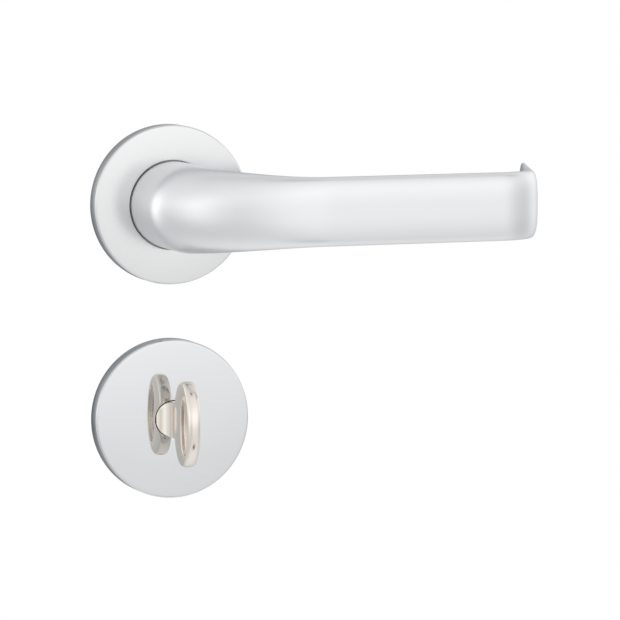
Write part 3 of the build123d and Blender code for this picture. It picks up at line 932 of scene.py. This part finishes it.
# ---- stage --------------------------------------------------------------------
LOBES = (
    # degrees round from the front towards the left, degrees up, sharpness, strength
    (-115.0, 0.0, 10.0, 0.33),
    (-85.0, 0.0, 12.0, -0.07),
    (-35.0, 0.0, 24.0, 0.12),
    (-12.0, 0.0, 24.0, 0.28),
    (5.0, 0.0, 30.0, 0.09),
    (42.0, 0.0, 24.0, 0.26),
    (58.0, 0.0, 24.0, 0.31),
    (80.0, 0.0, 20.0, 0.14),
    (103.0, 0.0, 20.0, 0.09),
    (136.0, 0.0, 20.0, 0.82),
    (180.0, 8.0, 6.0, -0.66),
    (-25.0, -38.0, 6.0, 0.20),
    (-25.0, 22.0, 8.0, 0.11),
    (0.0, 90.0, 5.0, -0.22),
    (0.0, -90.0, 2.5, 0.30),
    (-62.0, 42.0, 60.0, -0.40),
    (-19.0, -39.0, 200.0, -0.80),
    (-19.0, 59.0, 150.0, -0.60),
)
HORIZON = 1.0                    # how fast the room darkens across the band round the horizon
HORIZON_BAND = 0.16              # half the height of that band
DARKEST = 0.02                   # the least light from any direction
SHADE_TINT = (0.86, 0.93, 1.0)   # colour of the dark parts of the room
ROOM_LIGHT = 0.80                # the room's light before the lobes
FLOOR_HALF = 3.0                 # half the side of the floor, in metres


def studio_world(strength):
    """White to the camera; to the metal, a pale room with soft boxes and dark sides."""
    world = bpy.data.worlds.new("studio")
    bpy.context.scene.world = world
    world.use_nodes = True
    finish = Finish(world.node_tree)
    way = finish.node("ShaderNodeTexCoord", out="Generated")
    light = finish.node("ShaderNodeValue")
    light.socket.default_value = strength
    for azimuth, height, sharp, power in LOBES:
        a, e = math.radians(azimuth), math.radians(height)
        unit = Vector((-math.sin(a) * math.cos(e), -math.cos(a) * math.cos(e), math.sin(e)))
        facing = finish.node("ShaderNodeVectorMath", {"operation": "DOT_PRODUCT"}, {0: way, 1: unit}, "Value")
        light = light + (math.e ** ((facing - 1) * sharp)) * power
    height = finish.node("ShaderNodeVectorMath", {"operation": "DOT_PRODUCT"},
                         {0: way, 1: (0, 0, 1)}, "Value")
    low = height.math("MAXIMUM", height, -HORIZON_BAND)
    light = light + low.math("MINIMUM", low, HORIZON_BAND) * HORIZON
    light = light.math("MAXIMUM", light, DARKEST)
    tint = finish.mix(light.math("MINIMUM", light, 1.0), SHADE_TINT, (1.0, 1.0, 1.0))
    room = finish.node("ShaderNodeBackground", None, {"Color": tint, "Strength": light})
    white = finish.node("ShaderNodeBackground", None, {"Color": (1, 1, 1), "Strength": 1.0})
    seen = finish.node("ShaderNodeLightPath", out="Is Camera Ray")
    both = finish.node("ShaderNodeMixShader", None, {0: seen, 1: room, 2: white})
    finish.node("ShaderNodeOutputWorld", None, {"Surface": both})


def floor_paint():
    """A pale floor that glows evenly from above and can't be seen from below."""
    material, finish = new_finish("pale_floor")
    glow = finish.node("ShaderNodeEmission", None, {"Color": (1, 1, 1), "Strength": 1.0})
    clear = finish.node("ShaderNodeBsdfTransparent")
    under = finish.node("ShaderNodeNewGeometry", out="Backfacing")
    both = finish.node("ShaderNodeMixShader", None, {0: under, 1: glow, 2: clear})
    finish.node("ShaderNodeOutputMaterial", None, {"Surface": both})
    return material


class LOCKSET_OT_stage(bpy.types.Operator):
    """Set the floor, the light and the camera"""

    bl_idname = "lockset.stage"
    bl_label = "Stage"

    def execute(self, context):
        sizes = context.scene.lockset_stage
        studio_world(ROOM_LIGHT)
        side = FLOOR_HALF
        mesh = bpy.data.meshes.new("floor")
        mesh.from_pydata([(-side, -side, sizes.floor_z), (side, -side, sizes.floor_z),
                          (side, side, sizes.floor_z), (-side, side, sizes.floor_z)], [], [(0, 1, 2, 3)])
        floor = bpy.data.objects.new("floor", mesh)
        context.scene.collection.objects.link(floor)
        floor.data.materials.append(floor_paint())
        floor.visible_glossy = False
        floor.visible_diffuse = False
        data = bpy.data.cameras.new("camera")
        data.lens = sizes.lens
        data.sensor_width = 36.0
        camera = bpy.data.objects.new("camera", data)
        context.scene.collection.objects.link(camera)
        a, e = sizes.azimuth, sizes.elevation
        back = Vector((-math.sin(a) * math.cos(e), -math.cos(a) * math.cos(e), math.sin(e)))
        camera.location = Vector((sizes.target_x, 0.0, sizes.target_z)) + back * sizes.distance
        camera.rotation_mode = "QUATERNION"
        camera.rotation_quaternion = (-back).to_track_quat("-Z", "Y")
        context.scene.camera = camera
        context.scene.view_settings.view_transform = "Standard"
        context.scene.view_settings.look = "None"
        return {"FINISHED"}


OPERATORS = (LOCKSET_OT_roses, LOCKSET_OT_lever, LOCKSET_OT_thumb_turn, LOCKSET_OT_screws,
             LOCKSET_OT_fittings, LOCKSET_OT_stage)


class LOCKSET_PT_panel(bpy.types.Panel):
    """Lists the pieces in the order they are built"""

    bl_idname = "LOCKSET_PT_panel"
    bl_label = "Lockset"
    bl_space_type = "VIEW_3D"
    bl_region_type = "UI"
    bl_category = "Lockset"

    def draw(self, context):
        for operator in OPERATORS:
            self.layout.operator(operator.bl_idname)
        for name in GROUPS:
            box = self.layout.box()
            group = getattr(context.scene, name)
            for key in group.__annotations__:
                box.prop(group, key)


GROUPS = {
    "lockset_lever": LeverSizes,
    "lockset_roses": RoseSizes,
    "lockset_turn": TurnSizes,
    "lockset_fixings": FixingSizes,
    "lockset_stage": StageSizes,
}


def register():
    for group in GROUPS.values():
        bpy.utils.register_class(group)
    for operator in OPERATORS:
        bpy.utils.register_class(operator)
    bpy.utils.register_class(LOCKSET_PT_panel)
    for name, group in GROUPS.items():
        setattr(bpy.types.Scene, name, bpy.props.PointerProperty(type=group))


def unregister():
    for name in GROUPS:
        delattr(bpy.types.Scene, name)
    bpy.utils.unregister_class(LOCKSET_PT_panel)
    for operator in reversed(OPERATORS):
        bpy.utils.unregister_class(operator)
    for group in reversed(list(GROUPS.values())):
        bpy.utils.unregister_class(group)


def main():
    register()
    bpy.ops.lockset.roses()
    bpy.ops.lockset.lever()
    bpy.ops.lockset.thumb_turn()
    bpy.ops.lockset.screws()
    bpy.ops.lockset.fittings()
    bpy.ops.lockset.stage()


if __name__ == "__main__":
    main()
